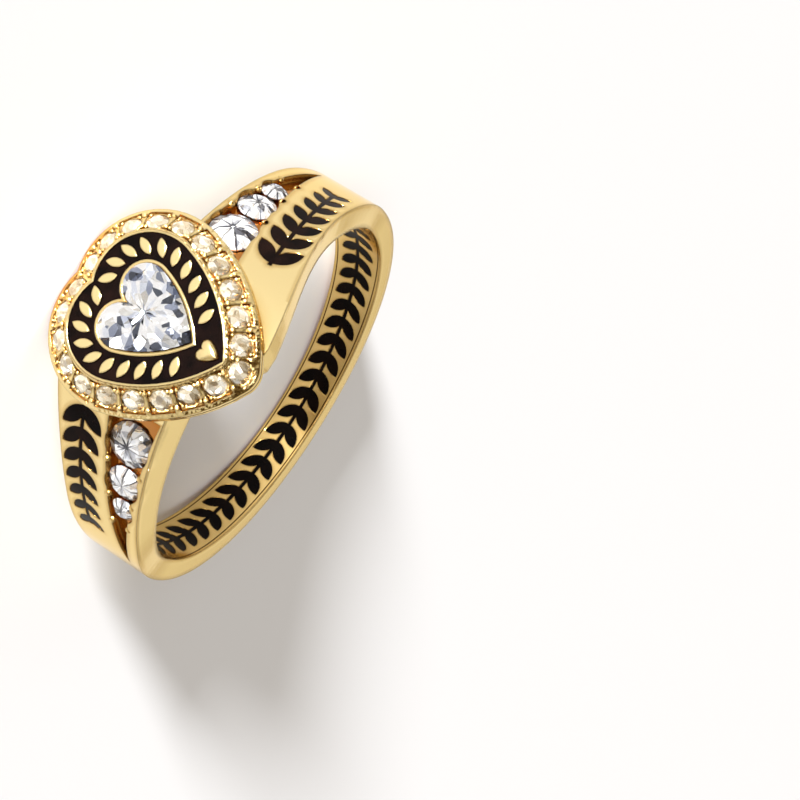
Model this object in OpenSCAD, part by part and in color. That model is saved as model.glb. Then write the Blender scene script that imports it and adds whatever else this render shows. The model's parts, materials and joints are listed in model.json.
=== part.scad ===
// Class ring: a cast gold ring whose band splits round three graded stones on each side of a
// heart head. The ring is modelled with its finger hole along y and the heart's face along z,
// then laid on its side, on the heart's two lobes and the back of the band.

/* [Finger hole and band] */
// radius of the finger hole
bore_r = 8.65; // [7.4:0.05:11]
// length of the finger hole's straight part, beyond which it opens under the wide arms
hole_straight = 3.2; // [2.8:0.1:3.6]
// how steeply it opens there
hole_slope = 0.5; // [0.3:0.05:0.6]
// metal thickness at the back of the band
band_t = 1.07; // [0.9:0.05:1.4]
// how much flatter the shoulders curve than the band, which thickens them toward the heart
swell = 1.7; // [1.2:0.05:2.2]
// width of the band at the back
band_w = 2.2; // [1.8:0.1:3]
// width of the band halfway up its sides
side_w = 2.66; // [2.4:0.02:3.2]
// width of the shoulders beside the recess, before the wide arm spreads
shoulder_w = 3.6; // [3.4:0.05:4.4]

/* [Shoulders] */
// how far the wide arm spreads beyond the band's side by the time it meets the head
arm_flare = 2.4; // [1.4:0.05:3]
// distance from the ring's middle at which the wide arm starts to spread
arm_start = 9.3; // [8.6:0.1:9.7]
// width of the recess beside the first stone
recess_w = 2.26; // [2.16:0.02:2.4]
// depth of the recess floor under the arms
recess_depth = 0.42; // [0.25:0.01:0.6]
// distance from the ring's middle to the recess's pointed end
recess_end = 9.3; // [8.9:0.1:9.5]
// how far the recess lies off the middle of the band at its wide end
recess_shift = 0.52; // [0.4:0.02:0.6]
// how much farther off the middle its pointed end lies
recess_lean = 0.5; // [0.3:0.05:0.6]

/* [Shoulder stones] */
// diameter of the stone nearest the heart
stone_d1 = 2.06; // [1.6:0.02:2.1]
// diameter of the middle stone
stone_d2 = 1.66; // [1.2:0.02:1.7]
// diameter of the stone nearest the band
stone_d3 = 1.16; // [0.7:0.02:1.2]
// angle from the heart to the first stone
stone_a1 = 35.3; // [35:0.1:36]
// space between neighbouring stones
stone_space = 0.05; // [0.04:0.01:0.1]
// how far the last stone sits off the recess's middle, toward the plain arm
stone_aside = 0.1; // [0:0.01:0.12]
// diameter of the gold beads that hold the shoulder stones
bead_d = 0.34; // [0.26:0.02:0.36]

/* [Heart head] */
// radius of each round lobe of the stone's gold rim
lobe_r = 1.07; // [0.98:0.01:1.2]
// distance of each lobe's centre from the middle
lobe_x = 0.9; // [0.8:0.01:0.94]
// how far the long side arcs are centred beyond the middle
flank_x = 2.9; // [2.4:0.05:3.4]
// how far the long side arcs are centred toward the lobes
flank_y = 1.07; // [0.8:0.01:1.3]
// how far the whole heart sits off the band's middle, toward its lobes
head_shift = 1; // [0.6:0.05:1.3]
// width of the black band round the stone
enamel_w = 1.09; // [0.95:0.01:1.2]
// width of the thin gold rim outside the black band
inner_rim_w = 0.12; // [0.08:0.01:0.2]
// width of the sloping halo seen from above
halo_w = 1.08; // [1:0.01:1.2]
// drop of the halo from its inner to its outer edge
halo_drop = 0.9; // [0.6:0.02:1.1]
// height of the upright rim under the halo
rim_h = 0.56; // [0.45:0.01:0.8]
// rounding of the heart's point
point_r = 1; // [0.6:0.1:1.4]
// height of the rim's underside above the finger hole
head_h = 2.49; // [2.3:0.02:3]
// how far the collet stands in from the rim
collet_in = 0.8; // [0.5:0.05:1]

/* [Heart stone and its rim] */
// thickness of the gold rim round the stone
bezel_t = 0.14; // [0.1:0.01:0.16]
// height of the gold rim above the black band
bezel_h = 0.28; // [0.15:0.01:0.4]
// height of the stone's table above its gold rim
table_h = 0.14; // [0.05:0.01:0.3]
// depth of the stone below its girdle
pavilion_h = 1.5; // [1.1:0.05:1.7]

/* [Halo stones] */
// number of stones on each side of the one at the point
halo_pairs = 10; // [9:1:10]
// diameter of each halo stone
halo_stone_d = 0.92; // [0.8:0.01:0.96]
// how far the halo stones sit above the middle of the slope
halo_in = 0.07; // [0:0.01:0.12]
// diameter of the gold beads between the halo stones
halo_bead_d = 0.22; // [0.16:0.01:0.26]
// depth of the square cut round each halo stone
cell_depth = 0.1; // [0.05:0.01:0.14]

/* [Black enamel] */
// depth of the enamel inlays
enamel_depth = 0.3; // [0.2:0.01:0.4]
// length of a leaf on the heart's black band
heart_leaf_l = 0.82; // [0.6:0.01:0.86]
// width of a leaf on the heart's black band
heart_leaf_w = 0.38; // [0.24:0.01:0.42]
// number of raised leaves on each side of the heart's black band
heart_leaves = 10; // [8:1:11]
// height of the raised leaves above the black band
leaf_rise = 0.06; // [0.03:0.01:0.12]
// height of the small gold heart, from its point to its lobes
small_heart_h = 0.9; // [0.7:0.01:0.94]
// rise of the small gold heart's domed top
small_heart_dome = 0.15; // [0.08:0.01:0.18]
// length of a leaf in the shoulder branch, at its wide end
arm_leaf_l = 1.4; // [1:0.05:1.45]
// width of a leaf in the shoulder branch, at its wide end
arm_leaf_w = 0.62; // [0.36:0.02:0.66]
// number of leaf pairs in a shoulder branch
arm_leaf_pairs = 7; // [6:1:8]
// length of a leaf inside the band
bore_leaf_l = 1.25; // [0.8:0.05:1.3]
// width of a leaf inside the band
bore_leaf_w = 0.56; // [0.3:0.02:0.6]
// number of leaf pairs inside the band
bore_leaf_pairs = 25; // [20:1:28]
// width of the stems between the leaves
stem_w = 0.14; // [0.1:0.01:0.2]

/* [Hidden] */
gap = 0.02;                 // between a stone or an inlay and the metal round it
eps = 0.01;                 // overrun of a cut past a face
reach = 30;                 // longer than the ring in any direction
band_r = bore_r + band_t;
back_z = -band_r;
swell_deg = 95;             // from the heart to where the shoulders' flatter arcs begin
arm_r = band_r + swell;     // the shoulders' arcs, and their centre for the right shoulder
arm_x = -swell * sin(swell_deg);
arm_z = -swell * cos(swell_deg);
arm_low = band_r * cos(swell_deg);

flank_r = lobe_r + norm([lobe_x + flank_x, flank_y]);
joint_deg = atan2(-flank_y, lobe_x + flank_x);
rim_out = enamel_w + inner_rim_w + halo_w;
plate_z = bore_r + head_h;
edge_z = plate_z + rim_h;
face_z = edge_z + halo_drop;
bezel_z = face_z + bezel_h;
slope_deg = atan(halo_drop / halo_w);
halo_off = enamel_w + inner_rim_w + halo_w / 2;
halo_z = face_z - halo_drop / 2;

// the ring lies on the back of the band and on the heart's lobes
rail_in = 0.02;
lobe_far = head_shift + lobe_r + rim_out - rail_in;
rest_deg = atan((lobe_far - band_w / 2) / (plate_z - back_z));
rest_z = band_w / 2 * cos(rest_deg) + band_r * sin(rest_deg);
front_y = bezel_z + table_h;
mid_y = (front_y + back_z) / 2;

$fn = 48;

function smooth(u) = let (c = max(0, min(1, u))) c * c * (3 - 2 * c);

module lay() {
    translate([0, -mid_y * cos(rest_deg), rest_z])
        rotate([rest_deg - 90, 0, 0]) children();
}

// the heart's outline, drawn outward by d from the middle of its stone's gold rim

function arc(cx, cy, r, a0, a1, n, skip = 0) =
    [for (i = [skip:n]) let (a = a0 + (a1 - a0) * i / n) [cx + r * cos(a), cy + r * sin(a)]];

function point_y(d, round_r) =
    flank_y - sqrt(pow(flank_r + d - round_r, 2) - flank_x * flank_x);

function half_heart(d, round_r, n) =
    let (r = lobe_r + d, big = flank_r + d, py = point_y(d, round_r),
        start = atan2(py - flank_y, flank_x), notch = acos(-lobe_x / r))
    concat(
        round_r > 0 ? arc(0, py, round_r, -90, start, 4) : [[0, py]],
        arc(-flank_x, flank_y, big, start, joint_deg, n, 1),
        arc(lobe_x, 0, r, joint_deg, notch, 2 * n, 1));

function heart(d, round_r = 0, n = 9) =
    let (h = half_heart(d, round_r, n))
    concat(h, [for (i = [len(h) - 2:-1:1]) [-h[i].x, h[i].y]]);

// place on the outline at distance s from the point, as [x, y, outward direction]
function flank_len(d) = (joint_deg + acos(flank_x / (flank_r + d))) * PI / 180 * (flank_r + d);
function lobe_len(d) = (acos(-lobe_x / (lobe_r + d)) - joint_deg) * PI / 180 * (lobe_r + d);
function along(s, d) =
    let (f = flank_len(d))
    s < f
        ? let (a = -acos(flank_x / (flank_r + d)) + s / (flank_r + d) * 180 / PI)
            [-flank_x + (flank_r + d) * cos(a), flank_y + (flank_r + d) * sin(a), a]
        : let (a = joint_deg + (s - f) / (lobe_r + d) * 180 / PI)
            [lobe_x + (lobe_r + d) * cos(a), (lobe_r + d) * sin(a), a];
function mirrored(p) = [-p[0], p[1], 180 - p[2]];

module heart_wall(d, z0, z1, round_r = 0) {
    translate([0, 0, z0]) linear_extrude(z1 - z0) polygon(heart(d, round_r));
}

// faces listed counter-clockwise from outside, turned to the order that a polyhedron takes
function clockwise(faces) = [for (f = faces) [f[0], for (i = [len(f) - 1:-1:1]) f[i]]];

// a solid through rings of points; each ring has as many points as the others
module loft(rings) {
    n = len(rings[0]);
    m = len(rings);
    polyhedron(
        points = [for (ring = rings) for (p = ring) p],
        faces = clockwise(concat(
            [[0, for (i = [n - 1:-1:1]) i], [for (i = [0:n - 1]) (m - 1) * n + i]],
            [for (k = [0:m - 2]) for (i = [0:n - 1])
                let (j = (i + 1) % n) each [
                    [k * n + i, k * n + j, (k + 1) * n + j],
                    [k * n + i, (k + 1) * n + j, (k + 1) * n + i]]])));
}
function at_z(pts, z) = [for (p = pts) [p.x, p.y, z]];

// cut stones: a table, crown facets, a thin girdle and facets down to the culet
module cut_stone(table, girdle, culet, table_z, girdle_t, culet_z) {
    // table has n points, girdle has 2n, and girdle point 2i lies beside table point i
    n = len(table);
    g = 2 * n;
    up = n;
    low = n + g;
    tip = n + 2 * g;
    polyhedron(
        points = concat(at_z(table, table_z), at_z(girdle, 0), at_z(girdle, -girdle_t),
            [[culet.x, culet.y, culet_z]]),
        faces = clockwise(concat(
            [[for (i = [0:n - 1]) i]],
            [for (i = [0:n - 1]) let (j = (i + 1) % n) each [
                [i, up + 2 * i + 1, j],
                [i, up + 2 * i, up + 2 * i + 1],
                [j, up + 2 * i + 1, up + (2 * i + 2) % g]]],
            [for (i = [0:g - 1]) let (j = (i + 1) % g) each [
                [up + i, low + i, low + j],
                [up + i, low + j, up + j],
                [low + i, tip, low + j]]])));
}
function ring2d(r, n, turn = 0) = [for (i = [0:n - 1]) let (a = turn + 360 * i / n) [r * cos(a), r * sin(a)]];

crown_share = 0.15;         // height of the crown over the stone's diameter
module brilliant(d) {
    cut_stone(ring2d(d * 0.3, 8), ring2d(d / 2, 16), [0, 0],
        d * crown_share, d * 0.03, -d * 0.42);
}
// the hole that a brilliant sits in
module brilliant_seat(d, above) {
    translate([0, 0, -d * 0.05 - gap]) cylinder(d = d + 2 * gap, h = above + d * 0.05 + gap);
    translate([0, 0, -d * 0.5]) cylinder(d1 = d * 0.2, d2 = d + 2 * gap, h = d * 0.45 + eps - gap);
}

// a leaf is the lens between two circles
module leaf2d(l, w, grow = 0) {
    r = (l * l / w + w) / 4;
    intersection() {
        translate([0, r - w / 2]) circle(r = r + grow);
        translate([0, w / 2 - r]) circle(r = r + grow);
    }
}

// the two shoulders are one shape turned half round
shank_turns = [0, 180];
function arm_x_at(a) = arm_x + arm_r * sin(a);
function on_arm(a, y) = [arm_x_at(a), y, arm_z + arm_r * cos(a)];
recess_from = 3.4;          // where the recess starts, hidden under the head
stone_from = 4;             // where its taper starts
function share(x) = (x - stone_from) / (recess_end - stone_from);
function recess_mid(x) = recess_shift + recess_lean * share(x);
function recess_half(x) = recess_w / 2 * pow(max(0, 1 - share(x)), 0.75);
stone_d = [stone_d1, stone_d2, stone_d3];
function stone_sink(d) = d * crown_share + 0.02;    // of a stone's girdle under the arms' faces
// turns between neighbouring stones, so that their girdles clear each other
function stone_turn(d, e) = 2 * asin((d + e + 2 * stone_space) / 4 / (arm_r - stone_sink(d)));
stone_a12 = stone_turn(stone_d1, stone_d2);
stone_a23 = stone_turn(stone_d2, stone_d3);
stone_a = [stone_a1, stone_a1 + stone_a12, stone_a1 + stone_a12 + stone_a23];

// a round bar along the finger, as the band and the shoulders are turned from
module bar(r, x = 0, z = 0, h = reach) {
    translate([x, 0, z]) rotate([90, 0, 0]) cylinder(r = r, h = h, center = true, $fn = 256);
}

// half widths of the plain arm and the wide arm, and the swing from one to the other under the head,
// at an angle from the heart
shoulder_deg = 54;          // from here on the shoulders narrow to the sides of the band
turn_x = 1;                 // the swing ends here on the wide arm's side
back_x = 2.2;               // and here on the other side
function plain_half(a) = a < swell_deg
    ? (side_w + (shoulder_w - side_w) * smooth((swell_deg - a) / (swell_deg - shoulder_deg))) / 2
    : (band_w + (side_w - band_w) * smooth((180 - a) / (180 - swell_deg))) / 2;
function arm_reach(a) = let (b = arm_x * sin(a) + arm_z * cos(a))
    b + sqrt(b * b + arm_r * arm_r - arm_x * arm_x - arm_z * arm_z);
function near_edge(a) = let (x = abs(a) < 90 ? arm_reach(abs(a)) * sin(a) : sign(a) * band_r)
    -plain_half(abs(a)) - arm_flare * smooth(1 - max(x, turn_x) / arm_start) * smooth((x + back_x) / (turn_x + back_x));

module finger_hole() {
    bar(bore_r);
    for (side = [-1, 1]) rotate([side * 90, 0, 0]) translate([0, 0, hole_straight / 2 - eps])
        cylinder(r1 = bore_r - hole_slope * eps, r2 = bore_r + hole_slope * arm_r, h = arm_r + eps, $fn = 256);
}

// a ring with radial walls at the band's edges, from inside the metal to outside it
wall_rows = 3;              // of facets on each wall, so that they all slope nearly alike
wall_room = 0.2;
module shank_widths() {
    n = 100;
    m = 2 * (wall_rows + 1);
    inner = bore_r - wall_room;
    function outer(a) = wall_room + (abs(a) < swell_deg ? arm_reach(abs(a)) : band_r);
    function corner(k, a, y) = let (r = inner + (outer(a) - inner) * k / wall_rows) [r * sin(a), y, r * cos(a)];
    polyhedron(
        points = [for (i = [0:n - 1]) let (a = 360 * i / n - 180, near = near_edge(a), far = -near_edge(-a)) each
            concat([for (k = [0:wall_rows]) corner(k, a, far)], [for (k = [wall_rows:-1:0]) corner(k, a, near)])],
        faces = clockwise([for (k = [0:n - 1]) for (i = [0:m - 1])
            let (j = (i + 1) % m, here = m * k, next = m * ((k + 1) % n)) each [
                [here + i, here + j, next + j],
                [here + i, next + j, next + i]]]));
}

module shank() {
    intersection() {
        shank_widths();
        union() {
            bar(band_r + eps);
            intersection() {
                bar(arm_r, arm_x, arm_z);
                bar(arm_r, -arm_x, arm_z);
                translate([-reach / 2, -reach / 2, arm_low]) cube(reach);
            }
        }
    }
}

module recess() {
    n = 14;
    xs = [for (i = [0:n]) recess_from + (recess_end - recess_from) * i / n];
    difference() {
        linear_extrude(reach) polygon(concat(
            [for (x = xs) [x, recess_mid(x) - recess_half(x)]],
            [for (i = [n - 1:-1:0]) [xs[i], recess_mid(xs[i]) + recess_half(xs[i])]]));
        bar(arm_r - recess_depth, arm_x, arm_z, 2 * reach);
    }
}

module on_shoulder(i) {
    a = stone_a[i];
    translate(on_arm(a, recess_mid(arm_x_at(a)) + stone_aside * i / 2)) rotate([0, a, 0])
        translate([0, 0, -stone_sink(stone_d[i])]) children();
}
module shoulder_beads() {
    after_last = 5;
    for (a = [stone_a[0] + stone_a12 * 0.55, stone_a[1] + stone_a23 * 0.6, stone_a[2] + after_last], side = [-1, 1]) {
        x = arm_x_at(a);
        translate(on_arm(a, recess_mid(x) + side * (recess_half(x) + bead_d * 0.1)))
            rotate([0, a, 0]) translate([0, 0, -bead_d * 0.35]) sphere(d = bead_d, $fn = 24);
    }
}

// branch of leaves let into the wide arm: its middle as an angle from the heart and a place across
// the finger, its half length, and its lean toward the band's middle
branch_deg = 49;
branch_y = -1.2;
branch_half = 3.5;
branch_lean = 9;
leaf_spread = 45;           // angle of every branch's leaves to its stem
module branch2d(grow) {
    step = 2 * branch_half / arm_leaf_pairs;
    translate([-branch_half, -stem_w / 2 - grow]) square([2 * branch_half - step * 0.3, stem_w + 2 * grow]);
    for (i = [0:arm_leaf_pairs - 1], side = [-1, 1]) {
        k = 1 - 0.35 * i / arm_leaf_pairs;
        translate([-branch_half + step * (i + 0.2), 0]) rotate(side * leaf_spread)
            translate([arm_leaf_l * k / 2 - stem_w / 2, 0]) leaf2d(arm_leaf_l * k, arm_leaf_w * k, grow);
    }
}
module branch(grow, top) {
    intersection() {
        translate([arm_x, 0, arm_z]) rotate([0, branch_deg, 0]) translate([0, branch_y, arm_r / 2])
            rotate(branch_lean) linear_extrude(arm_r) branch2d(grow);
        difference() {
            bar(arm_r + top, arm_x, arm_z);
            bar(arm_r - enamel_depth - grow, arm_x, arm_z, 2 * reach);
        }
    }
}

// branch of leaves let into the inside of the band, on the side away from the heart
band_branch_deg = 172;
module band_branch(grow, top) {
    step = band_branch_deg / bore_leaf_pairs;
    inner = bore_r - band_t;
    intersection() {
        union() {
            rotate([90, 0, 0]) rotate(-90 - band_branch_deg / 2)
                rotate_extrude(angle = band_branch_deg, $fn = 256)
                    translate([inner, -stem_w / 2 - grow]) square([2 * band_t, stem_w + 2 * grow]);
            for (i = [0:bore_leaf_pairs - 1], side = [-1, 1])
                rotate([0, 180 - band_branch_deg / 2 + step * (i + 0.2), 0])
                    translate([0, 0, inner]) linear_extrude(2 * band_t)
                        rotate(side * leaf_spread) translate([bore_leaf_l / 2 - stem_w / 2, 0])
                            leaf2d(bore_leaf_l, bore_leaf_w, grow);
        }
        difference() {
            bar(bore_r + enamel_depth + grow);
            bar(bore_r + top, h = 2 * reach);
        }
    }
}

// raised leaves on the heart's black band, and the small gold heart near its point
leaf_path = enamel_w / 2;
leaf_first = 1.45;          // along the outline from the point to the first leaf
leaf_last = flank_len(leaf_path) + lobe_len(leaf_path) - 0.45;
leaf_turn = 28;             // from square across the black band
small_scale = small_heart_h / (lobe_r - point_y(0, 0));
small_mid = (lobe_r + point_y(0, 0)) / 2;
small_y = (point_y(0, 0) + point_y(enamel_w, 0)) / 2 + 0.02;
function small_heart(grow, k = 1) =
    [for (p = heart(grow / small_scale, 0, 5)) [p.x * small_scale * k, small_y + (p.y - small_mid) * small_scale * k]];
module raised(grow, z0, z1) {
    for (i = [0:heart_leaves - 1], side = [0, 1]) {
        s = leaf_first + (leaf_last - leaf_first) * i / (heart_leaves - 1);
        p = side == 0 ? along(s, leaf_path) : mirrored(along(s, leaf_path));
        translate([p[0], p[1], z0]) rotate(p[2] + (side == 0 ? leaf_turn : -leaf_turn)) linear_extrude(z1 - z0)
            leaf2d(heart_leaf_l, heart_leaf_w, grow);
    }
    translate([0, 0, z0]) linear_extrude(z1 - z0) polygon(small_heart(grow));
}
// the domed top, as shares of the small heart's outline and of the dome's rise
dome_rings = [[1, 0], [0.95, 0.35], [0.84, 0.65], [0.66, 0.87], [0.4, 1]];
module small_dome() {
    loft([for (ring = dome_rings) at_z(small_heart(0, ring[0]), face_z + leaf_rise - eps + small_heart_dome * ring[1])]);
}

// the sloping halo and the brilliants in it
halo_sink = 0.1;            // of a stone's girdle under the slope
halo_step = (flank_len(halo_off) + lobe_len(halo_off)) / (halo_pairs + 0.5);
// 1 is the stone at the point; even ones follow on the right, odd ones on the left
function halo_place(k) =
    k == 1 ? [0, along(0, halo_off)[1], -90]
    : let (p = along(floor(k / 2) * halo_step, halo_off)) k % 2 == 0 ? p : mirrored(p);
module on_halo(p, off_mid = 0) {
    out = off_mid - halo_in;
    translate([p[0] + out * cos(slope_deg) * cos(p[2]), p[1] + out * cos(slope_deg) * sin(p[2]),
        halo_z - out * sin(slope_deg)]) rotate([0, slope_deg, p[2]]) children();
}
module halo_seat(k) {
    on_halo(halo_place(k)) {
        translate([0, 0, -halo_sink]) brilliant_seat(halo_stone_d, 1);
        translate([0, 0, 0.5 - cell_depth]) cube([halo_w * 1.04, halo_step * 0.86, 1], center = true);
    }
}
module halo_beads() {
    for (i = [0:halo_pairs], side = [0, 1], t = [-1, 1]) {
        q = along(min((i + 0.5) * halo_step, flank_len(halo_off) + lobe_len(halo_off) - 0.02), halo_off);
        if (i < halo_pairs || side == 0)
            on_halo(side == 0 ? q : mirrored(q), t * halo_stone_d * 0.4)
                translate([0, 0, 0.01]) sphere(d = halo_bead_d, $fn = 16);
    }
}

rail_share = 0.4;           // of the rim's height taken by the lower rail
edge_share = 0.38;          // and by the halo's upright edge
groove_in = 0.1;            // depth of the groove between the two
lip_in = 0.03;              // how far the halo's top lip stands back from its slope
lip_h = 0.05;
inner_point_r = point_r * 0.3;
module head() {
    // collet from the finger hole up into the rim
    heart_wall(rim_out - collet_in, bore_r - head_h, plate_z + rim_h * rail_share / 2, point_r);
    // lower rail, and the groove between it and the halo
    heart_wall(rim_out - rail_in, plate_z, plate_z + rim_h * rail_share, point_r);
    heart_wall(rim_out - groove_in, plate_z + rim_h * rail_share / 3, edge_z - rim_h * 0.1, point_r);
    // upright edge and slope of the halo, and the thin lip at its top
    loft([at_z(heart(rim_out, point_r), edge_z - rim_h * edge_share), at_z(heart(rim_out, point_r), edge_z),
        at_z(heart(rim_out - halo_w, inner_point_r), face_z)]);
    heart_wall(rim_out - halo_w - lip_in, face_z - enamel_depth, face_z + lip_h, inner_point_r);
}

module head_cuts() {
    // trough for the black band
    difference() {
        heart_wall(enamel_w, face_z - enamel_depth, face_z + 1);
        heart_wall(0, face_z - enamel_depth - 1, bezel_z);
    }
    // seat of the heart stone, and the narrower hollow round the lower part of its facets
    heart_wall(-bezel_t, girdle_z - seat_h, bezel_z + 1);
    translate([0, 0, girdle_z - pavilion_h - culet_room]) linear_extrude(pavilion_h) polygon(stone_outline(hollow_share));
}

// the heart stone: rings of points round its middle, as shares of its outline and of its depth
girdle_z = bezel_z - 0.12;  // its widest part, under the top of its gold rim
seat_h = 0.58;
hollow_share = 0.9;         // of the stone's outline, for the hollow under its seat
culet_room = 0.1;           // under the stone's lowest point
girdle_h = 0.06;
table_share = 0.58;
crown_ring = [0.82, 0.55];  // share of the outline, and of the crown's height
upper_ring = [0.64, 0.45];  // share of the outline, and of the depth below the girdle
lower_ring = [0.34, 0.78];
stone_mid = (lobe_r + point_y(0, 0)) * 0.35;
function stone_outline(k, n = 6) = [for (p = heart(-bezel_t - gap, 0, n)) [p.x * k, stone_mid + (p.y - stone_mid) * k]];
// every other point of the outline from the first or second on, at a share k of its size
function every_other(from, k, z) =
    let (all = stone_outline(k)) [for (i = [from:2:len(all) - 1]) [all[i].x, all[i].y, z]];
module heart_stone_body() {
    crown = bezel_z + table_h - girdle_z;
    table = every_other(0, table_share, crown);
    m = len(table);
    g = 2 * m;
    // where each ring's points begin in the list
    mid = m;
    top = mid + m;
    low = top + g;
    deep = low + g;
    last = deep + m;
    polyhedron(
        points = concat(table, every_other(1, crown_ring[0], crown * crown_ring[1]),
            at_z(stone_outline(1), 0), at_z(stone_outline(1), -girdle_h),
            every_other(1, upper_ring[0], -pavilion_h * upper_ring[1]),
            every_other(0, lower_ring[0], -pavilion_h * lower_ring[1]), [[0, stone_mid, -pavilion_h]]),
        faces = clockwise(concat(
            [[for (i = [0:m - 1]) i]],
            [for (i = [0:m - 1]) let (j = (i + 1) % m, a = 2 * i, b = 2 * i + 1, c = (2 * i + 2) % g) each [
                [i, mid + i, j], [mid + i, mid + j, j],
                [mid + i, top + a, top + b], [mid + i, top + b, top + c], [mid + i, top + c, mid + j],
                [deep + i, low + b, low + a], [deep + i, low + c, low + b], [deep + j, low + c, deep + i],
                [last + i, last + j, deep + i], [last + j, deep + j, deep + i],
                [last + i, last + m, last + j]]],
            [for (i = [0:g - 1]) let (j = (i + 1) % g) each [
                [top + i, low + i, low + j], [top + i, low + j, top + j]]])));
}

// the nodes
module ring_casting() color([0.93, 0.77, 0.45]) lay() {
    difference() {
        union() {
            difference() {
                shank();
                for (turn = shank_turns) rotate(turn) {
                    recess();
                    for (i = [0:len(stone_d) - 1]) on_shoulder(i) brilliant_seat(stone_d[i], stone_d1);
                    branch(gap, band_t);
                }
            }
            translate([0, head_shift, 0]) head();
        }
        finger_hole();
        band_branch(gap, -band_t / 2);
        translate([0, head_shift, 0]) {
            head_cuts();
            for (k = [1:2 * halo_pairs + 1]) halo_seat(k);
        }
    }
    for (turn = shank_turns) rotate(turn) shoulder_beads();
    translate([0, head_shift, 0]) {
        raised(0, face_z - enamel_depth - eps, face_z + leaf_rise);
        small_dome();
        halo_beads();
    }
}
module heart_enamel() color([0.1, 0.08, 0.07]) lay() translate([0, head_shift, 0]) difference() {
    heart_wall(enamel_w - gap, face_z - enamel_depth + gap, face_z);
    heart_wall(gap, face_z - enamel_depth - 1, face_z + 1);
    raised(gap, face_z - enamel_depth - 1, face_z + 1);
}
module right_shoulder_enamel() color([0.1, 0.08, 0.07]) lay() branch(0, -0.02);
module left_shoulder_enamel() color([0.1, 0.08, 0.07]) lay() rotate(180) branch(0, -0.02);
module band_enamel() color([0.1, 0.08, 0.07]) lay() band_branch(0, 0.02);
module heart_stone() color([0.92, 0.95, 1]) lay() translate([0, head_shift, girdle_z]) heart_stone_body();
module shoulder_stone(turn, i) color([0.95, 0.95, 0.95]) lay() rotate(turn) on_shoulder(i) brilliant(stone_d[i]);
module halo_stone(k) color([0.97, 0.9, 0.8]) lay() translate([0, head_shift, 0])
    on_halo(halo_place(k)) translate([0, 0, -halo_sink]) brilliant(halo_stone_d);

ring_casting();
heart_enamel();
right_shoulder_enamel();
left_shoulder_enamel();
band_enamel();
heart_stone();
shoulder_stone(0, 0);  // right_stone_1
shoulder_stone(0, 1);  // right_stone_2
shoulder_stone(0, 2);  // right_stone_3
shoulder_stone(180, 0);  // left_stone_1
shoulder_stone(180, 1);  // left_stone_2
shoulder_stone(180, 2);  // left_stone_3
halo_stone(1);  // halo_stone_01
halo_stone(2);  // halo_stone_02
halo_stone(3);  // halo_stone_03
halo_stone(4);  // halo_stone_04
halo_stone(5);  // halo_stone_05
halo_stone(6);  // halo_stone_06
halo_stone(7);  // halo_stone_07
halo_stone(8);  // halo_stone_08
halo_stone(9);  // halo_stone_09
halo_stone(10);  // halo_stone_10
halo_stone(11);  // halo_stone_11
halo_stone(12);  // halo_stone_12
halo_stone(13);  // halo_stone_13
halo_stone(14);  // halo_stone_14
halo_stone(15);  // halo_stone_15
halo_stone(16);  // halo_stone_16
halo_stone(17);  // halo_stone_17
halo_stone(18);  // halo_stone_18
halo_stone(19);  // halo_stone_19
halo_stone(20);  // halo_stone_20
halo_stone(21);  // halo_stone_21
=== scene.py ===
import json
import math

import bpy
from mathutils import Matrix, Vector


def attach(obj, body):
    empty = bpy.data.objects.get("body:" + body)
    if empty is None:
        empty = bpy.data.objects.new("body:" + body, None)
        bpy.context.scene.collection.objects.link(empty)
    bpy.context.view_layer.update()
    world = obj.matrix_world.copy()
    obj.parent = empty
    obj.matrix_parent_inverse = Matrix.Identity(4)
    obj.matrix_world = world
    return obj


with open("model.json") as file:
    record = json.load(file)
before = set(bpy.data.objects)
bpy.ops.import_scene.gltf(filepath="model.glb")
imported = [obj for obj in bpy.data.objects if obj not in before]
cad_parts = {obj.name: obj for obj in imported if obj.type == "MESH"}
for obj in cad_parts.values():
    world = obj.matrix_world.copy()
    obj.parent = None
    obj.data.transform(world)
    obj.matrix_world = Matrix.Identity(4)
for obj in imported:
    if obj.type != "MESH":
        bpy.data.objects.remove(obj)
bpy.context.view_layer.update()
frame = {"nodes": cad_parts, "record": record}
bpy.ops.object.select_all(action="DESELECT")

# The whole ring is one casting in yellow gold: the band, the two split shoulders and the heart head with
# its halo, cut and polished after casting. Its deep places, such as the recesses beside the shoulder
# stones and the cells of the halo, are painted a darker, redder tone: painted shade, with the painted
# reflection of the gold in itself.
MM = 0.001
nodes = frame["nodes"]
finger_bore = frame["record"]["mounts"][0]
bore_centre = Vector(finger_bore["pos_m"])
across_finger = Vector((1, 0, 0))
toward_cleft = -Vector(finger_bore["axis"])
out_of_heart = across_finger.cross(toward_cleft)


def placed(origin, right, ahead, up):
    """The place whose origin and axes these are."""
    return Matrix.Translation(origin) @ Matrix((right, ahead, up)).transposed().to_4x4()


def new_material(name):
    """An empty node material, its tree and its output."""
    material = bpy.data.materials.new(name)
    material.use_nodes = True
    tree = material.node_tree
    tree.nodes.clear()
    output = tree.nodes.new("ShaderNodeOutputMaterial")
    return material, tree, output


def add_node(tree, kind, inputs=None, **settings):
    """A node of the tree; inputs maps a socket's name or number to a value or to another node's output."""
    made = tree.nodes.new("ShaderNode" + kind)
    for key, value in settings.items():
        setattr(made, key, value)
    for socket, value in (inputs or {}).items():
        if isinstance(value, bpy.types.NodeSocket):
            tree.links.new(value, made.inputs[socket])
        else:
            made.inputs[socket].default_value = value
    return made


def number(tree, operation, *values):
    """The result of a sum, such as ADD, on numbers and nodes' outputs."""
    return add_node(tree, "Math", dict(enumerate(values)), operation=operation).outputs[0]


def dot(tree, one, other):
    return add_node(tree, "VectorMath", {0: one, 1: other}, operation="DOT_PRODUCT").outputs["Value"]


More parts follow.
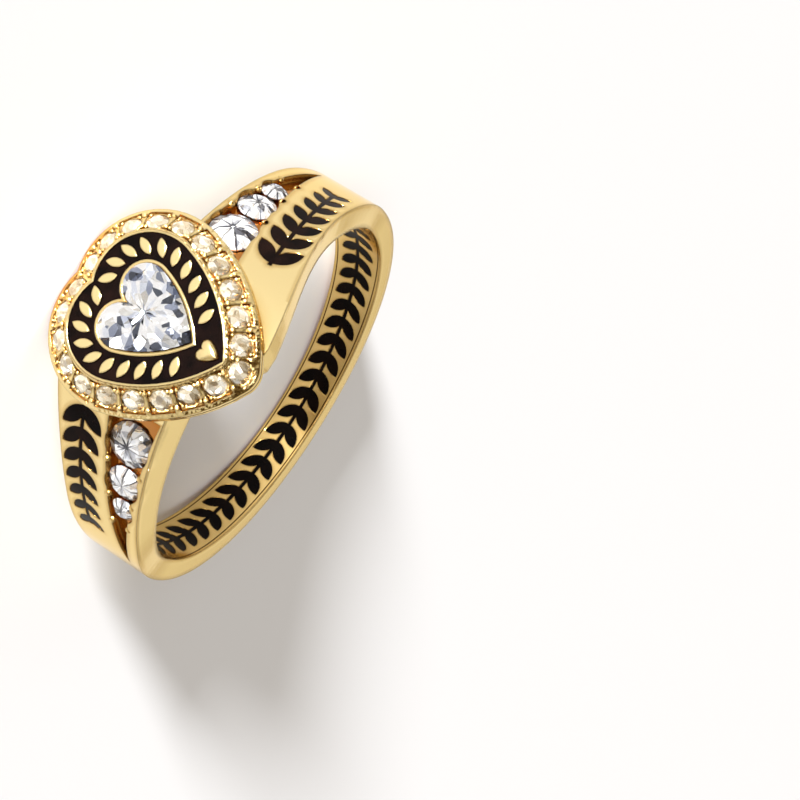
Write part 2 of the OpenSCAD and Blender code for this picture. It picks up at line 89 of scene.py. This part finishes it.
def mix(tree, factor, one, other, blend="MIX"):
    colours = {"Fac": factor, "Color1": one, "Color2": other}
    return add_node(tree, "MixRGB", colours, blend_type=blend).outputs["Color"]


def ramp(tree, factor, stops, steps=False):
    """A colour ramp over pairs of a place and a colour or a share, in steps or blended."""
    made = add_node(tree, "ValToRGB", {"Fac": factor})
    made.color_ramp.interpolation = "CONSTANT" if steps else "LINEAR"
    points = made.color_ramp.elements
    while len(points) < len(stops):
        points.new(0.5)
    for point, (place, colour) in zip(points, stops):
        point.position = place
        point.color = (*colour, 1) if isinstance(colour, tuple) else (colour, colour, colour, 1)
    return made.outputs["Color"]


def along_axis(tree, vector, axis, origin=None):
    """How far a vector reaches along an axis of the ring, from the origin on."""
    offset = origin.dot(axis) if origin else 0.0
    return number(tree, "SUBTRACT", dot(tree, vector, tuple(axis)), offset)


def square_sum(tree, one, other):
    return number(tree, "ADD", number(tree, "MULTIPLY", one, one), number(tree, "MULTIPLY", other, other))


def all_of(tree, first, *others):
    """The product of masks, which is 1 where each of them is."""
    for other in others:
        first = number(tree, "MULTIPLY", first, other)
    return first


def wear(obj, material):
    """All of the piece takes this material."""
    if not obj.material_slots:
        obj.data.materials.append(material)
    for material_slot in obj.material_slots:
        material_slot.material = material


# sizes of the casting that its gold's tones keep to, in mm
BORE_R = 8.65
BAND_R = 9.72
BACK_W = 2.2
SIDE_W = 2.66
SIDE_DEG = 95
ARM_R = 11.42
ARM_X = 1.6935
ARM_Z = 0.148
RECESS_DEPTH = 0.42
RECESS_UNDER = 0.3
RECESS_OVER = 0.1
HEAD_FROM = 10.4
HALO_FROM = 11.72
HALO_TO = 12.62

# the gold's colour, and the tones painted on it as shade and reflection
GOLD = (0.88, 0.7, 0.34)
GOLD_SHADED = (0.68, 0.43, 0.12)
GOLD_HOLLOW_SHADE = (0.4, 0.12, 0.015)
GOLD_LINE = (0.09, 0.035, 0.006)
GOLD_GRAZING = (1.0, 0.9, 0.7)
GOLD_INSIDE_REFLECTION = (0.88, 0.6, 0.2)
GOLD_CREASE_SHADE = (0.5, 0.28, 0.06)
RECESS_SHARE = 0.85
INSIDE_REFLECTION_SHARE = 0.6
ROUGHNESS = 0.13
EDGE_R = 0.1
WALL_EDGE_R = 0.42
HOLLOW_REACH = 0.7
WALL_LEAN = 0.8
INNER_LINE_IN = 0.13
INNER_LINE_HALF = 0.03
CUTS_PER_M = 5200
WAVES_PER_M = 260


def inner_dark_line(tree, aside, height, in_bore):
    """A mask of a thin dark line inside the band, beside each of its edges."""
    half_width = add_node(
        tree,
        "MapRange",
        {
            "Value": height,
            "From Min": -BAND_R * MM,
            "From Max": BAND_R * math.cos(math.radians(SIDE_DEG)) * MM,
            "To Min": (BACK_W / 2 - INNER_LINE_IN) * MM,
            "To Max": (SIDE_W / 2 - INNER_LINE_IN) * MM,
        },
        interpolation_type="SMOOTHSTEP",
    ).outputs["Result"]
    on_line = number(tree, "COMPARE", aside, half_width, INNER_LINE_HALF * MM)
    return all_of(tree, on_line, in_bore)


def recess_floor(tree, across, height, place, normal, facing_side):
    """A mask of the floors of the shoulders' recesses, by their depth under the arms' faces, where painted
    shade is laid.
    """
    from_arm = number(tree, "ADD", number(tree, "ABSOLUTE", across), ARM_X * MM)
    above_arm = number(tree, "SUBTRACT", height, ARM_Z * MM)
    arm_square = square_sum(tree, from_arm, above_arm)
    return all_of(
        tree,
        number(tree, "GREATER_THAN", arm_square, ((ARM_R - RECESS_DEPTH - RECESS_UNDER) * MM) ** 2),
        number(tree, "LESS_THAN", arm_square, ((ARM_R - RECESS_DEPTH + RECESS_OVER) * MM) ** 2),
        number(tree, "GREATER_THAN", dot(tree, normal, place), 0.0),
        number(tree, "SUBTRACT", 1.0, facing_side),
        number(tree, "GREATER_THAN", height, 0.0),
        number(tree, "LESS_THAN", height, HEAD_FROM * MM),
    )


def gold_material(name):
    material, tree, output = new_material(name)
    spots = add_node(tree, "TexCoord")
    place = spots.outputs["Object"]
    normal = spots.outputs["Normal"]
    across = along_axis(tree, place, across_finger)
    aside = number(tree, "ABSOLUTE", along_axis(tree, place, toward_cleft, bore_centre))
    height = along_axis(tree, place, out_of_heart, bore_centre)
    below_head = number(tree, "LESS_THAN", height, HEAD_FROM * MM)
    leaning = number(tree, "ABSOLUTE", along_axis(tree, normal, toward_cleft))
    facing_side = number(tree, "GREATER_THAN", leaning, WALL_LEAN)

    # the shank's flat walls are domed a little by the polishing wheel; other edges are only softened
    edges = add_node(tree, "Bevel", {"Radius": EDGE_R * MM}, samples=4).outputs["Normal"]
    walls = add_node(tree, "Bevel", {"Radius": WALL_EDGE_R * MM}, samples=4).outputs["Normal"]
    rounded = mix(tree, all_of(tree, facing_side, below_head), edges, walls)

    # painted shade: the tone is darkened in hollows, by how open they are, and toward the shank's edges, and
    # the recesses' floors are painted a dull copper red, painted shade with the painted reflection of gold in
    # gold
    open_air = add_node(tree, "AmbientOcclusion", {"Distance": HOLLOW_REACH * MM}, samples=4).outputs["AO"]
    tone = ramp(tree, open_air, [(0.12, GOLD_HOLLOW_SHADE), (0.5, GOLD_SHADED), (0.85, GOLD)])
    # painted shade along the shank's edges, darkest at the crease between wall and face
    near_edge_shade = ramp(tree, dot(tree, walls, normal), [(0.72, 0.8), (0.9, 0.5), (0.985, 0.0)])
    tone = mix(tree, all_of(tree, near_edge_shade, below_head), tone, (*GOLD_CREASE_SHADE, 1))
    in_recess = recess_floor(tree, across, height, place, normal, facing_side)
    tone = mix(tree, all_of(tree, in_recess, RECESS_SHARE), tone, (*GOLD_HOLLOW_SHADE, 1))

    # painted reflection: inside the band the tone is painted warmer, standing in for the gold mirroring
    # itself
    in_bore = number(tree, "LESS_THAN", square_sum(tree, across, height), ((BORE_R + 0.04) * MM) ** 2)
    tone = mix(tree, all_of(tree, in_bore, INSIDE_REFLECTION_SHARE), tone, (*GOLD_INSIDE_REFLECTION, 1))

    # painted reflection: a dark brown line is painted along sharp edges, where they would mirror dark
    # surroundings, and a thin dark line is painted inside the band beside each of its edges
    edge_shade_line = ramp(tree, dot(tree, edges, normal), [(0.8, 0.6), (0.92, 0.45), (0.97, 0.0)])
    lined = number(tree, "MAXIMUM", edge_shade_line, inner_dark_line(tree, aside, height, in_bore))
    tone = mix(tree, lined, tone, (*GOLD_LINE, 1))

    # bright cuts of the graver between the halo's stones, and faint waves of the wheel elsewhere
    on_halo = all_of(
        tree,
        number(tree, "GREATER_THAN", height, HALO_FROM * MM),
        number(tree, "LESS_THAN", height, HALO_TO * MM),
    )
    cuts = add_node(tree, "TexVoronoi", {"Vector": place, "Scale": CUTS_PER_M}).outputs["Distance"]
    cut_bump = add_node(
        tree,
        "Bump",
        {"Strength": all_of(tree, on_halo, 0.5), "Distance": 0.06 * MM, "Height": cuts, "Normal": rounded},
    ).outputs["Normal"]
    swirl = add_node(tree, "TexNoise", {"Vector": place, "Scale": WAVES_PER_M, "Detail": 2}).outputs["Fac"]
    waves = add_node(
        tree, "Bump", {"Strength": 0.1, "Distance": 0.05 * MM, "Height": swirl, "Normal": cut_bump}
    ).outputs["Normal"]
    shine = add_node(
        tree,
        "BsdfPrincipled",
        {
            "Base Color": tone,
            "Metallic": 1.0,
            "Roughness": ROUGHNESS,
            "Specular Tint": (*GOLD_GRAZING, 1),
            "Normal": waves,
        },
    )
    tree.links.new(shine.outputs["BSDF"], output.inputs["Surface"])
    return material


polished_gold = gold_material("polished_gold")
wear(nodes["ring_casting"], polished_gold)

# Black enamel is laid into the heart's band, into the branches on the wide arms and into the branch inside
# the band, then ground flush with the gold and glazed. It is near black with a slight brown tint.
ENAMEL_DARK = (0.0012, 0.0006, 0.0005)
ENAMEL_BROWN = (0.005, 0.002, 0.0014)
enamel, enamel_tree, enamel_output = new_material("black_enamel")
enamel_place = add_node(enamel_tree, "TexCoord").outputs["Object"]
enamel_cloud = add_node(
    enamel_tree, "TexNoise", {"Vector": enamel_place, "Scale": 1.3 / MM, "Detail": 3}
).outputs["Fac"]
enamel_flow = add_node(enamel_tree, "Bump", {"Strength": 0.08, "Distance": 0.05 * MM, "Height": enamel_cloud})
enamel_glaze = add_node(
    enamel_tree,
    "BsdfPrincipled",
    {
        "Base Color": ramp(enamel_tree, enamel_cloud, [(0.35, ENAMEL_DARK), (0.7, ENAMEL_BROWN)]),
        "Roughness": 0.2,
        "Specular IOR Level": 0.05,
        "Normal": enamel_flow.outputs["Normal"],
    },
)
enamel_tree.links.new(enamel_glaze.outputs["BSDF"], enamel_output.inputs["Surface"])
for inlay in ("heart_enamel", "right_shoulder_enamel", "left_shoulder_enamel", "band_enamel"):
    wear(nodes[inlay], enamel)

# The heart stone is a clear cut stone held by a thin gold rim. Light comes in through its table and goes
# back out after two turns at the facets underneath, which breaks it into bright and dark patches; these
# patches are painted into its colour as painted reflections.
SHARD_TURNS = (0.5, -0.7)
SHARD_SHAPE = (1.0, 0.4, 0.7)
TILT = 0.8
FAN_TURN = 3.4
FAN_LENGTH = 2.1
HEART_REFLECTION_TONES = [
    (0.0, (0.04, 0.05, 0.08)),
    (0.08, (0.3, 0.34, 0.46)),
    (0.18, (0.8, 0.84, 0.94)),
    (0.32, (1, 1, 1)),
]


def fan_shards(tree, place, fan):
    """Long facets that all run to the point under a stone's middle."""
    point, right_way, ahead_way = fan
    right = along_axis(tree, place, right_way, point)
    ahead = along_axis(tree, place, ahead_way, point)
    angle = number(tree, "ARCTAN2", ahead, right)
    out = number(tree, "SQRT", square_sum(tree, right, ahead))
    spread = add_node(
        tree,
        "CombineXYZ",
        {"X": number(tree, "MULTIPLY", angle, FAN_TURN), "Y": number(tree, "MULTIPLY", out, FAN_LENGTH / MM)},
    )
    return add_node(tree, "TexVoronoi", {"Vector": spread.outputs[0], "Scale": 1.0})


def stone_material(name, tones, inner_mm, mirror, clear, fan=None, star_seat=None):
    """A cut stone: small inner facets, each with its own tilt and its own painted reflection, from white to
    near black, in glass with a bright back.
    """
    material, tree, output = new_material(name)
    spots = add_node(tree, "TexCoord")
    place = spots.outputs["Object"]
    shards = []
    for turn in SHARD_TURNS:
        along = add_node(
            tree, "Mapping", {"Vector": place, "Rotation": (turn, turn / 2, turn), "Scale": SHARD_SHAPE}
        ).outputs[0]
        shards.append(add_node(tree, "TexVoronoi", {"Vector": along, "Scale": 1 / (inner_mm * MM)}))
    if fan:
        shards[0] = fan_shards(tree, place, fan)
    turned = add_node(
        tree,
        "VectorMath",
        {0: shards[0].outputs["Color"], 1: (TILT,) * 3, 2: (-TILT / 2,) * 3},
        operation="MULTIPLY_ADD",
    )
    tilted = add_node(tree, "VectorMath", {0: turned.outputs[0], 1: spots.outputs["Normal"]}, operation="ADD")
    unit = add_node(tree, "VectorMath", {0: tilted.outputs[0]}, operation="NORMALIZE")
    layers = []
    for shard in shards:
        chance = add_node(tree, "SeparateXYZ", {"Vector": shard.outputs["Color"]}).outputs["X"]
        layers.append(ramp(tree, chance, tones, steps=True))
    tone = mix(tree, 1.0, *layers, blend="MULTIPLY")
    if star_seat:
        tone = mix(tree, 1.0, tone, star(tree, place, star_seat), blend="MULTIPLY")
    cut = add_node(
        tree,
        "BsdfPrincipled",
        {
            "Base Color": tone,
            "Metallic": mirror,
            "Roughness": 0.01,
            "IOR": 2.0,
            "Transmission Weight": clear,
            "Normal": unit.outputs[0],
        },
    )
    tree.links.new(cut.outputs["BSDF"], output.inputs["Surface"])
    return material


heart_corners = [vertex.co.copy() for vertex in nodes["heart_stone"].data.vertices]
heart_fan = (min(heart_corners, key=out_of_heart.dot), across_finger, toward_cleft)
clear_heart = stone_material(
    "clear_heart_stone", HEART_REFLECTION_TONES, inner_mm=0.3, mirror=0.4, clear=0.86, fan=heart_fan
)
wear(nodes["heart_stone"], clear_heart)

# Three graded round stones fill the recess of each shoulder, held by gold beads at their sides. They are
# cut as brilliants: a flat table, a ring of crown facets, a thin girdle and long facets to the point below.
SHOULDER_D = (2.06, 1.66, 1.16)
CULET_SHARE = 0.42
# the brilliants' dark star rays and their bright and dark patches are painted reflections
STAR_RAYS = 8
RAY_WIDTH = 0.075
RAY_DARK = (0.02, 0.02, 0.025)
RAY_EDGE = (0.1, 0.1, 0.12)
CLEAR_REFLECTION_TONES = [
    (0.0, (0.1, 0.1, 0.12)),
    (0.07, (0.5, 0.51, 0.55)),
    (0.18, (0.86, 0.88, 0.92)),
    (0.32, (1, 1, 1)),
]


def stone_seat(stone, diameter_mm):
    """The middle of a brilliant's girdle and the way its table faces, as a place for what holds it."""
    areas = {}
    for face in stone.data.polygons:
        toward = tuple(round(value, 3) for value in face.normal)
        areas[toward] = areas.get(toward, 0) + face.area
    facing = Vector(max(areas, key=areas.get)).normalized()
    corners = {tuple(round(value, 7) for value in vertex.co) for vertex in stone.data.vertices}
    corners = [Vector(corner) for corner in corners]
    middle = sum(corners, Vector()) / len(corners)
    culet = min(corner.dot(facing) for corner in corners)
    girdle = middle + facing * (culet + CULET_SHARE * diameter_mm * MM - middle.dot(facing))
    along_edge = out_of_heart.cross(facing).normalized()
    return placed(girdle, along_edge, facing.cross(along_edge), facing)


def star(tree, place, seat):
    """Painted dark rays from the middle of a brilliant, a painted reflection of the lines where its lower
    facets meet.
    """
    girdle = seat.to_translation()
    right = along_axis(tree, place, seat.col[0].to_3d(), girdle)
    ahead = along_axis(tree, place, seat.col[1].to_3d(), girdle)
    angle = number(tree, "ARCTAN2", ahead, right)
    swing = number(tree, "SINE", number(tree, "MULTIPLY", angle, STAR_RAYS / 2))
    out = number(tree, "SQRT", square_sum(tree, right, ahead))
    off_ray = number(tree, "MULTIPLY", number(tree, "ABSOLUTE", swing), out)
    uneven = add_node(tree, "TexNoise", {"Vector": place, "Scale": 1.6 / MM, "Detail": 1}).outputs["Fac"]
    width = number(tree, "MAXIMUM", number(tree, "MULTIPLY_ADD", uneven, 5.0, -1.6), 0.3)
    across = number(tree, "DIVIDE", off_ray, number(tree, "MULTIPLY", width, MM))
    return ramp(tree, across, [(0.0, RAY_DARK), (RAY_WIDTH, RAY_EDGE), (RAY_WIDTH * 1.7, (1, 1, 1))])


for side in ("right", "left"):
    for count, diameter in enumerate(SHOULDER_D, 1):
        stone = nodes[f"{side}_stone_{count}"]
        seat = stone_seat(stone, diameter)
        fan = (seat.to_translation(), seat.col[0].to_3d(), seat.col[1].to_3d())
        brilliant = stone_material(
            f"clear_{stone.name}", CLEAR_REFLECTION_TONES, inner_mm=0.25, mirror=0.4, clear=0.62, fan=fan, star_seat=seat
        )
        wear(stone, brilliant)

# Twenty-one small brilliants stand in square bright-cut cells round the halo, with a bead of gold at each
# corner. They are the same clear stones, painted champagne as a painted reflection of the gold under them.
HALO_REFLECTION_TONES = [(0.0, (0.7, 0.62, 0.48)), (0.3, (0.95, 0.89, 0.76)), (0.6, (1, 0.98, 0.92))]
halo_stone = stone_material("halo_stone", HALO_REFLECTION_TONES, inner_mm=0.2, mirror=0.35, clear=0.65)
halo_stones = [nodes[name] for name in sorted(nodes) if name.startswith("halo_stone")]
for stone in halo_stones:
    wear(stone, halo_stone)

# Round each halo stone the gold is raised into a thin collar, which is pushed over the stone's edge, and
# four claws are drawn up from the corners of its cell. Collars and claws are part of the cast halo.
HALO_STONE_D = 0.92
COLLAR_R = HALO_STONE_D / 2 + 0.035
COLLAR_WIRE_R = 0.05
COLLAR_FOOT = -0.02
CLAW_R = 0.1
CLAW_OUT = HALO_STONE_D * 0.56
CLAW_UP = 0.02
CLAW_FOOT = -0.05
CLAWS = 4
halo_seats = [stone_seat(stone, HALO_STONE_D) for stone in halo_stones]


def cut_below(height_mm):
    """The object in hand loses all that lies under a height, and is closed there."""
    bpy.ops.object.mode_set(mode="EDIT")
    bpy.ops.mesh.select_all(action="SELECT")
    bpy.ops.mesh.bisect(plane_co=(0, 0, height_mm * MM), plane_no=(0, 0, 1), use_fill=True, clear_inner=True)
    bpy.ops.object.mode_set(mode="OBJECT")
    bpy.ops.object.shade_smooth()


def join_copies(name, pattern, places):
    """One piece from copies of the pattern, each with its own mesh, set at the places."""
    copies = []
    for place in places:
        copy = pattern.copy()
        copy.data = pattern.data.copy()
        copy.data.transform(place)
        bpy.context.scene.collection.objects.link(copy)
        copies.append(copy)
    bpy.ops.object.select_all(action="DESELECT")
    for copy in copies:
        copy.select_set(True)
    bpy.context.view_layer.objects.active = copies[0]
    bpy.ops.object.join()
    piece = bpy.context.object
    piece.name = name
    piece.data.name = name
    bpy.data.objects.remove(pattern)
    wear(piece, polished_gold)
    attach(piece, "root")


bpy.ops.object.select_all(action="DESELECT")
bpy.ops.mesh.primitive_torus_add(
    major_segments=16, minor_segments=6, major_radius=COLLAR_R * MM, minor_radius=COLLAR_WIRE_R * MM
)
cut_below(COLLAR_FOOT)
join_copies("halo_collars", bpy.context.object, halo_seats)

bpy.ops.object.select_all(action="DESELECT")
bpy.ops.mesh.primitive_uv_sphere_add(segments=8, ring_count=5, radius=CLAW_R * MM)
cut_below(CLAW_FOOT)
corner_angles = [45 + 360 / CLAWS * corner for corner in range(CLAWS)]
corner_turns = [Matrix.Rotation(math.radians(angle), 4, "Z") for angle in corner_angles]
out_to_claw = Matrix.Translation((CLAW_OUT * MM, 0, CLAW_UP * MM))
claw_places = [seat @ turn @ out_to_claw for seat in halo_seats for turn in corner_turns]
join_copies("halo_claws", bpy.context.object, claw_places)

# The ring lies on a plain pale tabletop of matt paper. It is large enough to have no edge in the picture,
# and its faint blue evens out the warm light that the gold and the tent throw on it.
TABLETOP_SIZE = 3.0
bpy.ops.mesh.primitive_plane_add(size=TABLETOP_SIZE, location=(0, 0, 0))
tabletop = bpy.context.object
tabletop.name = "tabletop"
paper, paper_tree, paper_output = new_material("pale_paper")
paper_face = add_node(
    paper_tree,
    "BsdfPrincipled",
    {"Base Color": (0.88, 0.89, 0.92, 1), "Roughness": 0.9, "Specular IOR Level": 0.1},
)
paper_tree.links.new(paper_face.outputs["BSDF"], paper_output.inputs["Surface"])
wear(tabletop, paper)

# A white tent of soft light stands round it. The tent is darker overhead and has a few grey panels, as a
# jewel photographer hangs, so that the polished gold shows dark bands between the bright ones.
world = bpy.data.worlds.new("white_tent")
bpy.context.scene.world = world
world.use_nodes = True
tent = world.node_tree
tent.nodes.clear()
toward = add_node(tent, "TexCoord").outputs["Generated"]
parts = add_node(tent, "SeparateXYZ", {"Vector": toward})
tent_heights = [
    (0.0, (0.6, 0.53, 0.42)),
    (0.18, (0.8, 0.76, 0.68)),
    (0.34, (1.0, 0.99, 0.97)),
    (0.5, (0.95, 0.92, 0.85)),
    (0.6, (0.22, 0.15, 0.06)),
    (0.8, (0.1, 0.06, 0.02)),
    (0.92, (0.16, 0.11, 0.06)),
    (1.0, (0.45, 0.43, 0.4)),
]
tent_sides = [
    (0.0, (0.9, 0.9, 0.9)),
    (0.2, (0.4, 0.36, 0.3)),
    (0.32, (1, 1, 1)),
    (0.7, (1, 1, 1)),
    (0.85, (0.5, 0.46, 0.38)),
    (1.0, (1, 1, 1)),
]
sideways = number(tent, "MULTIPLY_ADD", parts.outputs["X"], 0.5, 0.5)
by_height = ramp(tent, parts.outputs["Z"], tent_heights)
tent_colour = mix(tent, 1.0, by_height, ramp(tent, sideways, tent_sides), blend="MULTIPLY")
light = add_node(tent, "Background", {"Color": tent_colour, "Strength": 1.05})
backdrop = add_node(tent, "Background", {"Color": (1, 1, 1, 1), "Strength": 1.0})
seen = add_node(tent, "LightPath").outputs["Is Camera Ray"]
both = add_node(tent, "MixShader", {"Fac": seen, 1: light.outputs[0], 2: backdrop.outputs[0]})
add_node(tent, "OutputWorld", {"Surface": both.outputs[0]})


# The low key throws the ring's shadow behind it, and a softer lamp above the camera reaches the tabletop
# inside the finger hole. Both are far away, so the tabletop is lit evenly.
def far_lamp(name, elevation, azimuth, width, energy):
    data = bpy.data.lights.new(name, "SUN")
    data.energy = energy
    data.angle = math.radians(width)
    lamp = bpy.data.objects.new(name, data)
    bpy.context.scene.collection.objects.link(lamp)
    lamp.rotation_euler = (math.radians(90 - elevation), 0, math.radians(azimuth + 90))


far_lamp("low_key", elevation=8, azimuth=69, width=8, energy=12.8)
far_lamp("high_lamp", elevation=40, azimuth=100, width=30, energy=1.15)

# The camera stands where the photograph was taken from, 29 degrees above the tabletop as the ring sees it.
# Its place and its two directions are in the ring's own frame, in mm from the middle of the finger hole.
CAMERA_MM = (-0.67, -26.96, 74.86)
CAMERA_RIGHT = Vector((0.5304, -0.8238, -0.1998))
CAMERA_DOWN = Vector((-0.8465, -0.5022, -0.1768))
FOCAL_PIXELS = 1753.3
FRAME_PIXELS = 800
camera_data = bpy.data.cameras.new("photo_camera")
camera_data.sensor_width = 36
camera_data.lens = FOCAL_PIXELS / FRAME_PIXELS * camera_data.sensor_width
camera_data.clip_start = 1 * MM
camera = bpy.data.objects.new("photo_camera", camera_data)
bpy.context.scene.collection.objects.link(camera)
back = CAMERA_RIGHT.cross(-CAMERA_DOWN).normalized()
up = back.cross(CAMERA_RIGHT).normalized()
ring_place = placed(bore_centre, across_finger, toward_cleft, out_of_heart)
camera.matrix_world = ring_place @ placed(Vector(CAMERA_MM) * MM, up.cross(back), up, back)
bpy.context.scene.camera = camera
bpy.context.scene.view_settings.view_transform = "Standard"
